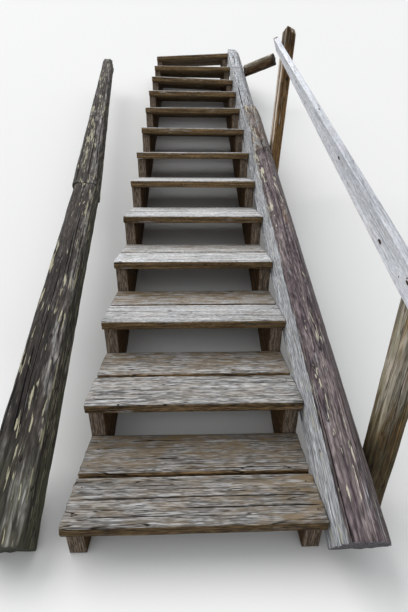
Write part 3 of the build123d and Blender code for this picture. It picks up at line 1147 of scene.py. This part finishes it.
class STAIR_OT_handrail(bpy.types.Operator):
    """Dress the handrail as a bleached plank on edge"""

    bl_idname = "stair.handrail"
    bl_label = "Handrail"

    # Share of the length from which the plank twists
    TWIST_FROM = 0.16
    # Knots of the side: share of the length, height and radius in mm. The one on top lies in its middle
    SIDE_KNOTS = ((0.128, 6, 4.5), (0.201, -13, 5.5), (0.383, 11, 5), (0.62, -20, 3), (0.708, 9, 4))
    TOP_KNOT = (0.533, 3.5)
    # Checks: start and end in shares of the length, place, depth and width in mm
    SIDE_CHECKS = (
        (0.128, 0.36, 4, 5, 1.8),
        (0.36, 0.44, 11, 9, 3.0),
        (0.68, 0.78, 9, 9, 3.0),
        (0.20, 0.52, -14, 4, 1.5),
        (0.55, 0.93, -2, 4, 1.5),
        (0.86, 1.03, 22, 24, 8),
    )
    TOP_CHECKS = ((0.0, 0.11, -3, 5, 1.8), (0.04, 0.16, 6, 5, 1.8), (0.6, 0.8, -4, 3, 1.2))

    def execute(self, context):
        relief = context.scene.stair_relief
        # Planed spruce plank, bleached almost white: fine grey fibres, small black knots split in the middle
        material = timber_material(
            "bleached spruce handrail", context.scene.stair_rail, band=7, streak=(160, 5), streaked=0.06,
            speck=(20, 3.5), speckled=0.13, ridge=0.6, lined=0.3,
        )
        timber = Timber("handrail", UPHILL, ACROSS, OUT_OF_SLOPE, 500, self.TWIST_FROM)
        section = timber.section
        for start, end, deep, depth, width in self.SIDE_CHECKS:
            timber.check(section.where(-timber.half[0], deep * MM), start, end, depth * MM, width * MM)
        for start, end, across, depth, width in self.TOP_CHECKS:
            timber.check(section.where(across * MM, timber.half[1]), start, end, depth * MM, width * MM)
        for share, deep, radius in self.SIDE_KNOTS:
            timber.knot(section.where(-timber.half[0], deep * MM), share, radius * MM)
        share, radius = self.TOP_KNOT
        timber.knot(section.where(0, timber.half[1]), share, radius * MM)
        timber.rings(
            step=14 * MM, fine=4 * MM, relief=weathered_relief(0.5 * relief.ridge, 5, 0.4),
            wander=0.3 * relief.wander, worn=0.2 * relief.edge_wear, ragged=6 * MM,
        )
        timber.piece("handrail_plank", "handrail", material, self.wear)
        return {"FINISHED"}

    def wear(self, face):
        """Nearly white, with a painted highlight that lightens the side towards its lower edge, greyer
        towards the top arris of the side, and brown wood in the split upper end.
        """
        side = smooth_step(0.7, 0.95, np.abs(face.across))
        top = smooth_step(0.5, 0.8, face.normal[..., 2])
        tone = 0.92 + 0.16 * smooth_step(0.25, 0.9, face.share)
        tone = tone * (1 - 0.26 * top * smooth_step(0.8, 0.3, face.share))
        # The side is lightened towards its lower edge as a painted highlight, and darkened towards the top
        # arris
        tone = tone * (1 + side * (0.12 - 0.22 * smooth_step(-0.6, 0.95, face.deep)))
        split = smooth_step(0.975, 1.0, face.share) * smooth_step(0.1, 0.5, face.deep)
        return {"weather": 1.1 - 0.95 * split, "tone": tone * (1 - 0.4 * split)}


class STAIR_OT_posts(bpy.types.Operator):
    """Dress the two handrail posts and the old stub"""

    bl_idname = "stair.posts"
    bl_label = "Posts and stub"

    # Where checks run, across and deep as shares of the section
    CHECKS = ((-1, 0.2), (-1, -0.4), (-0.3, 1), (0.5, 1), (1, 0), (0.2, -1))
    STUB_CHECKS = (-0.5, 0.1, 0.6)
    # The stub's own turn downhill and its tilt up, as its solid lies
    STUB_TURN = math.radians(35)
    STUB_TILT = math.radians(12)

    def execute(self, context):
        relief, finish = context.scene.stair_relief, context.scene.stair_posts
        # Sawn pine post: brown with grey strips where the sapwood has bleached, deep seasoning checks
        material = timber_material(
            "brown sawn pine post", finish, band=11, fibre=3.5, streak=(250, 7), streaked=0.24, speck=(50, 5),
            speckled=0.3, ridge=1.2, film_colour=finish.algae[:],
        )
        for number, node in enumerate(("lower_post", "upper_post")):
            timber = Timber(node, (0, 0, 1), (1, 0, 0), (0, -1, 0), 600 + number)
            rng, section = timber.rng, timber.section
            depth, width = 0.4 * relief.log_check, 0.4 * relief.log_check_width
            for across, deep in self.CHECKS:
                place = section.where(across * timber.half[0], deep * timber.half[1])
                start = rng.uniform(-0.05, 0.4)
                timber.check(place, start, start + rng.uniform(0.3, 0.65), depth, width)
            timber.knot(section.where(0.3 * timber.half[0], timber.half[1]), rng.uniform(0.3, 0.8), 8 * MM)
            timber.rings(
                step=14 * MM, fine=6 * MM, relief=weathered_relief(1.4 * relief.ridge, 8, 1.0),
                wander=0.8 * relief.wander, worn=1.5 * relief.edge_wear, ragged=3 * MM,
            )
            wear = (self.wear_lower, self.wear_upper)[number]
            timber.piece(f"{node}_sawn", "post", material, wear, inset=(0.86, 0.6, 0.3))
        self.stub(relief, finish)
        return {"FINISHED"}

    def stub(self, relief, finish):
        """The old timber end that butts against the log."""
        turn, tilt = self.STUB_TURN, self.STUB_TILT
        along = np.array((math.cos(turn), -math.sin(turn), math.sin(tilt)))
        across = np.array((math.sin(turn), math.cos(turn), 0))
        stub = Timber("outer_stub", along, across, np.cross(along, across), 620)
        # Old pine end, rotten and nearly black, with pale ribs of sound wood
        material = timber_material(
            "rotten pine stub", finish, band=11, streak=(120, 8), streaked=0.45, speck=(30, 6), speckled=0.35,
            names=("silver", "shade", "stringer_brown", "stringer_umber"), film_colour=finish.algae[:],
        )
        for share in self.STUB_CHECKS:
            place = stub.section.where(share * stub.half[0], stub.half[1])
            stub.check(place, stub.rng.uniform(0.2, 0.5), 1.03, 0.7 * relief.log_check, 5 * MM)
        stub.rings(
            step=12 * MM, fine=7 * MM, relief=weathered_relief(2 * relief.ridge, 8, 2.5),
            wander=0.6 * relief.wander, worn=3 * relief.edge_wear, ragged=30 * MM,
        )
        stub.piece("stub_rotten", "old_stub", material, self.wear_stub)

    def wear_lower(self, face):
        """Bleached at hand height, brown and darker towards the foot."""
        height = smooth_step(0.25, 0.62, face.share)
        right = smooth_step(0.5, 0.9, face.normal[..., 0])
        tone = 0.3 + 0.6 * height + 0.85 * right
        return {"weather": 0.15 + 0.5 * height, "film": 0.25 + 0.35 * height, "tone": tone}

    def wear_upper(self, face):
        """Bleached towards the stair with one dark stripe, brown in front, dark above the rail."""
        side = smooth_step(0.6, 0.95, -face.normal[..., 0])
        stripe = side * smooth_step(0.35, 0.1, np.abs(face.deep - 0.1))
        head = smooth_step(0.86, 0.93, face.share)
        # Fresh pale wood in the chipped corner of the head, and on the front close below it
        chip = smooth_step(0.3, 0.6, face.normal[..., 2]) * smooth_step(0.1, 0.4, face.normal[..., 0])
        below = smooth_step(0.965, 0.975, face.share) * smooth_step(-0.2, 0.0, face.across)
        chip = head * np.maximum(chip, below)
        weather = 0.1 + 0.75 * side - 0.6 * stripe - 0.3 * head * side + 0.9 * chip
        return {"weather": weather, "tone": (1.1 - 0.5 * stripe) * (1 - 0.6 * head * (1 - chip))}

    def wear_stub(self, face):
        """Grey-green and ribbed along its upper half, black and rotten at the end."""
        end = smooth_step(0.88, 0.97, face.share)
        top = smooth_step(-0.4, 0.8, face.deep)
        tone = (0.75 + 0.2 * top) * (1 - 0.75 * end)
        return {"weather": 0.15 + 0.6 * top, "film": 0.6 * top * (1 - end), "tone": tone}


class STAIR_OT_border_beams(bpy.types.Operator):
    """Dress the two lengths of the border beam"""

    bl_idname = "stair.border_beams"
    bl_label = "Border beams"

    # Where checks run, across and deep as shares of the section
    CHECKS = [(share, 1.0) for share in (-0.7, -0.4, -0.1, 0.2, 0.5, 0.75)]
    CHECKS += [(1.0, 0.3), (1.0, -0.3), (-1.0, 0.2)]

    def execute(self, context):
        relief, finish = context.scene.stair_relief, context.scene.stair_beam
        # Hewn timber that lies in the wet: nearly black top with pale flakes, bleached only along the arris
        material = timber_material(
            "dark hewn border timber", finish, film_colour=finish.algae[:], band=14, fibre=5.0,
            streak=(110, 9), streaked=0.35, speck=(40, 8), speckled=0.3, ridge=1.8,
            flake=finish.flake, flaked=(130, 12, 0.65),
        )
        for number, part in enumerate(("lower", "upper")):
            timber = Timber(f"border_beam_{part}", UPHILL, ACROSS, OUT_OF_SLOPE, 700 + number)
            self.add_checks(timber, relief)
            timber.rings(
                step=15 * MM, fine=8 * MM, coarse=20 * MM, hidden=0.22,
                relief=weathered_relief(2 * relief.ridge, 10, 3.0), wander=1.4 * relief.wander,
                worn=3 * relief.edge_wear, ragged=8 * MM,
            )
            wear = self.wear_lower if number == 0 else self.wear_upper
            timber.piece(f"beam_{part}_hewn", "border_beam", material, wear)
        return {"FINISHED"}

    def wear_lower(self, face):
        """Dark, bleached towards the stair, with a green-grey film on that side and at the foot, and darker
        towards the lower end as painted shade of plants.
        """
        top = smooth_step(0.2, 0.5, face.normal[..., 2])
        turn = 0.5 * smooth_step(-0.1, 0.85, face.across) * top
        side = smooth_step(0.7, 0.95, face.normal[..., 0])
        low = side * smooth_step(0.3, -0.6, face.deep)
        foot = smooth_step(0.2, 0.05, face.share)
        film = 0.5 * low + 0.3 * side + 0.3 * foot
        # Darker towards the lower end: painted shade of the plants over the beam
        tone = 0.38 + 0.44 * smooth_step(0.15, 0.9, face.share)
        tone = tone + (1.25 - tone) * np.maximum(turn, 0.4 * side)
        return {"weather": 0.2 + 0.6 * turn + 0.1 * side, "film": film, "tone": tone}

    def wear_upper(self, face):
        """As the lower length, but with less film, a little more silver on top and more flakes."""
        worn = self.wear_lower(face)
        weather = worn["weather"] + 0.1 * smooth_step(0.5, 0.8, face.normal[..., 2])
        return {"weather": weather, "film": 0.3 * worn["film"], "tone": 0.8, "flaky": 0.2}

    def add_checks(self, timber, relief):
        """Long checks along the top and the side towards the stair, and a few knots on top."""
        rng, section = timber.rng, timber.section
        span = timber.high - timber.low
        for across, deep in self.CHECKS:
            place = section.where(across * timber.half[0], deep * timber.half[1])
            for _ in range(max(1, round(span / 1.6))):
                long = rng.uniform(0.15, 0.45)
                start = rng.uniform(-0.05, 1.0 - long)
                beside = place + rng.uniform(-9, 9) * MM
                depth = relief.log_check * rng.uniform(0.35, 1.0)
                width = relief.log_check_width * rng.uniform(0.7, 1.3)
                timber.check(beside, start, start + long, depth, width)
        for _ in range(4):
            place = section.where(rng.uniform(-0.8, 0.8) * timber.half[0], timber.half[1])
            timber.knot(place, rng.uniform(0.05, 0.95), rng.uniform(4, 7) * MM)


class STAIR_OT_nails(bpy.types.Operator):
    """Add the nail heads in the treads and the handrail"""

    bl_idname = "stair.nails"
    bl_label = "Nail heads"

    HEAD = 4.5 * MM
    SINK = 0.4 * MM
    # Outline of a head: radius as a share of the head's, and height in mm
    PROFILE = ((0.0, 0.5), (0.62, 0.45), (0.92, 0.15), (1.0, -0.5), (0.5, -2.4))
    SIDES = 14
    # How far off the wood a nail starts
    AWAY = 0.2
    # Places across a plank, how far a nail strays in mm, and places on the rail beside each post in mm
    ACROSS_PLANK = (0.22, 0.78)
    STRAY = 6
    ON_RAIL = ((-16, 13), (15, -12))

    def execute(self, context):
        work = bmesh.new()
        self.nail_treads(work, np.random.default_rng(800))
        self.nail_rail(work)
        mesh = bpy.data.meshes.new("nail_heads")
        work.to_mesh(mesh)
        work.free()
        finish_piece("nail_heads", mesh, None, self.rusty_nail())
        return {"FINISHED"}

    def nail_treads(self, work, rng):
        """Nails down through every plank into both stringers."""
        lines = [(box[0].x + box[1].x) / 2 for box in (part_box("left_stringer"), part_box("right_stringer"))]
        for node in TREADS:
            plank = solid_of(bpy.data.objects[node.replace("tread", "plank")].data)
            low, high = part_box(node)
            for line in lines:
                for share in self.ACROSS_PLANK:
                    stray = rng.uniform(-self.STRAY, self.STRAY, 2) * MM
                    y = low.y + share * (high.y - low.y) + stray[1]
                    above = Vector((line + stray[0], y, high.z + self.AWAY))
                    self.drive(work, plank, above, Vector((0, 0, -1)))

    def nail_rail(self, work):
        """Nails through the handrail into each post."""
        rail = Timber("handrail", UPHILL, ACROSS, OUT_OF_SLOPE, 801)
        plank = solid_of(bpy.data.objects["handrail_plank"].data)
        heart = (np.zeros(2), np.zeros(2), np.array(0.0))
        ends = [Vector(rail.spot(np.array(reach), *heart)) for reach in (rail.low, rail.high)]
        for post in ("lower_post", "upper_post"):
            low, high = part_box(post)
            middle = ends[0].lerp(ends[1], ((low.y + high.y) / 2 - ends[0].y) / (ends[1].y - ends[0].y))
            for along, up in self.ON_RAIL:
                beside = middle + Vector(UPHILL) * (along * MM) + Vector(OUT_OF_SLOPE) * (up * MM)
                self.drive(work, plank, beside - Vector(ACROSS) * self.AWAY, Vector(ACROSS))

    def drive(self, work, wood, start, way):
        """Drives one nail into the worn face that lies ahead."""
        spot = wood.ray_cast(start, way)[0]
        if spot is None:
            raise RuntimeError("a nail misses its plank")
        self.head(work, spot, -way)

    def head(self, work, spot, normal):
        """One flat nail head with an eased rim, driven a little below the worn face."""
        turn = normal.to_track_quat("Z", "Y").to_matrix()
        rings = []
        for radius, lift in self.PROFILE:
            ring = []
            for k in range(self.SIDES if radius else 1):
                angle = 2 * math.pi * k / self.SIDES
                flat = Vector((radius * math.cos(angle), radius * math.sin(angle), 0)) * self.HEAD
                ring.append(work.verts.new(spot + turn @ (flat + Vector((0, 0, lift * MM - self.SINK)))))
            rings.append(ring)
        for outer, inner in zip(rings[1:], rings):
            for k in range(self.SIDES):
                after = (k + 1) % self.SIDES
                if len(inner) == 1:
                    work.faces.new((inner[0], outer[k], outer[after]))
                else:
                    work.faces.new((inner[k], outer[k], outer[after], inner[after]))
        work.faces.new(rings[-1])

    def rusty_nail(self):
        """Wire nail, iron under a brown skin of rust that is dull and grainy."""
        material = bpy.data.materials.new("rusted iron nail")
        tree = empty_tree(material)
        place = add(tree, "TexCoord", out="Object")
        grains = add(tree, "TexNoise", {"Vector": place, "Scale": 1 / (2.5 * MM), "Detail": 4.0})
        rust = add(tree, "Mix", {0: grains, 6: linear("#2b221c"), 7: linear("#5a3d2a")}, **COLOURS)
        bump = add(tree, "Bump", {"Strength": 0.8, "Distance": 0.3 * MM, "Height": grains})
        inputs = {"Base Color": rust, "Metallic": 0.35, "Roughness": 0.75, "Normal": bump}
        add(tree, "OutputMaterial", add(tree, "BsdfPrincipled", inputs), out=None)
        return material


class STAIR_OT_stage(bpy.types.Operator):
    """Set the camera, the pale floor and the soft light"""

    bl_idname = "stair.stage"
    bl_label = "Stage"

    SENSOR = 36
    # The floor: how far it reaches to the sides and downhill, how far beyond the head of the stair,
    # over what length it bends from level to sloping, and how far it stays below the stringers
    MARGIN = 9.0
    BEYOND = 8.0
    TURN = 0.6
    CLEAR = 3 * MM
    # How wide the soft sun is, and how far it stands uphill and to the left of straight above
    SUN_WIDTH = math.radians(50)
    SUN_TURN = (math.radians(-18), math.radians(-38), 0)
    # How far below level the horizon's light fades into the light from below
    HORIZON_FADE = 0.12

    def execute(self, context):
        stage = context.scene.stair_stage
        self.camera(context.scene, stage)
        self.floor(stage)
        self.light(context.scene, stage)
        context.scene.view_settings.view_transform = "Standard"
        return {"FINISHED"}

    def camera(self, scene, stage):
        """A camera at the height of someone who stands at the foot of the stair."""
        data = bpy.data.cameras.new("eye")
        data.lens = stage.lens
        data.sensor_width = self.SENSOR
        data.clip_start = 0.02
        turn = Matrix.Rotation(-stage.yaw, 3, "Z")
        turn = turn @ Matrix.Rotation(math.pi / 2 - stage.pitch, 3, "X") @ Matrix.Rotation(stage.roll, 3, "Z")
        camera = bpy.data.objects.new("eye", data)
        camera.matrix_world = Matrix.Translation(stage.eye) @ turn.to_4x4()
        scene.collection.objects.link(camera)
        scene.camera = camera

    def floor(self, stage):
        """A pale floor, level at the foot and rising under the flight and beyond it."""
        low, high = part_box("left_stringer")
        corners_of_stringer = [vertex.co for vertex in frame["nodes"]["left_stringer"].data.vertices]
        foot = low.z - self.CLEAR
        drop = max(corner.y * RISE / RUN - corner.z for corner in corners_of_stringer) + self.CLEAR
        bend_y = (foot + drop) * RUN / RISE
        top_y = high.y + self.BEYOND
        profile = [(-self.MARGIN, foot), (bend_y - self.TURN, foot), (bend_y, foot)]
        profile.extend((y, y * RISE / RUN - drop) for y in (bend_y + self.TURN, top_y))
        points = []
        for side in (-self.MARGIN, self.MARGIN):
            points.extend((side, y, z) for y, z in profile)
        count = len(profile)
        mesh = bpy.data.meshes.new("floor")
        mesh.from_pydata(points, [], [(k, k + count, k + count + 1, k + 1) for k in range(count - 1)])
        mesh.shade_smooth()
        mesh.materials.append(self.pale_floor(stage))
        floor = bpy.data.objects.new("floor", mesh)
        bpy.context.scene.collection.objects.link(floor)

    def pale_floor(self, stage):
        """Matt painted board. Seen from below it is clear, so that it never hides the stair.

        It looks pale, but it is dark for the light that it throws back, so that it doesn't bleach the fronts.
        """
        material = bpy.data.materials.new("matt pale board")
        tree = empty_tree(material)
        seen = self.seen(tree, "Is Camera Ray", "Is Glossy Ray")
        tint = add(tree, "Mix", {0: seen, 6: linear("#4e4e48"), 7: stage.floor[:]}, **COLOURS)
        board = add(tree, "BsdfPrincipled", {"Base Color": tint, "Roughness": 0.9})
        below = add(tree, "NewGeometry", out="Backfacing")
        both = add(tree, "MixShader", below, board, add(tree, "BsdfTransparent"))
        add(tree, "OutputMaterial", both, out=None)
        return material

    def seen(self, tree, *rays):
        """1 for rays of the kinds named, 0 for the rest."""
        path = add(tree, "LightPath", out=None)
        made = path[rays[0]]
        for ray in rays[1:]:
            made = add(tree, "Math", made, path[ray], operation="MAXIMUM")
        return made

    def light(self, scene, stage):
        """A sky that is brightest overhead, and one broad soft light from above, left and uphill."""
        world = bpy.data.worlds.new("studio")
        scene.world = world
        tree = empty_tree(world)
        seen = self.seen(tree, "Is Camera Ray", "Is Glossy Ray", "Is Transmission Ray")
        height = add(tree, "SeparateXYZ", add(tree, "TexCoord", out="Generated"), out="Z")
        lower = add(tree, "MapRange", height, -self.HORIZON_FADE, 0.0, stage.below, stage.horizon)
        upper = add(tree, "MapRange", height, 0.0, 1.0, 0.0, stage.zenith - stage.horizon)
        strength = add(tree, "Math", lower, upper, **PLUS)
        even = add(tree, "Background", linear("#f1f4f8"), strength)
        white = add(tree, "Background", (1, 1, 1, 1), 1.0)
        add(tree, "OutputWorld", add(tree, "MixShader", seen, even, white), out=None)
        data = bpy.data.lights.new("soft_sun", "SUN")
        data.energy = stage.sun
        data.angle = self.SUN_WIDTH
        lamp = bpy.data.objects.new("soft_sun", data)
        lamp.rotation_euler = self.SUN_TURN
        scene.collection.objects.link(lamp)


PIECES = (
    STAIR_OT_treads,
    STAIR_OT_stringers,
    STAIR_OT_side_log,
    STAIR_OT_handrail,
    STAIR_OT_posts,
    STAIR_OT_border_beams,
    STAIR_OT_nails,
    STAIR_OT_stage,
)


class STAIR_PT_panel(bpy.types.Panel):
    """Lists the pieces of the stair and what can be changed on them"""

    bl_idname = "STAIR_PT_panel"
    bl_label = "Weathered stair"
    bl_space_type = "VIEW_3D"
    bl_region_type = "UI"
    bl_category = "Stair"

    def draw(self, context):
        for piece in PIECES:
            self.layout.operator(piece.bl_idname)
        for name, group in GROUPS.items():
            box = self.layout.box()
            box.label(text=group.__doc__.splitlines()[0])
            for key in group.__annotations__:
                box.prop(getattr(context.scene, name), key)


CLASSES = (*GROUPS.values(), *PIECES, STAIR_PT_panel)


def register():
    for made in CLASSES:
        bpy.utils.register_class(made)
    for name, group in GROUPS.items():
        setattr(bpy.types.Scene, name, bpy.props.PointerProperty(type=group))


def unregister():
    for name in GROUPS:
        delattr(bpy.types.Scene, name)
    for made in reversed(CLASSES):
        bpy.utils.unregister_class(made)


def main():
    """Registers the classes and makes every piece in order."""
    register()
    for piece in PIECES:
        group, name = piece.bl_idname.split(".")
        getattr(getattr(bpy.ops, group), name)()


if __name__ == "__main__":
    main()
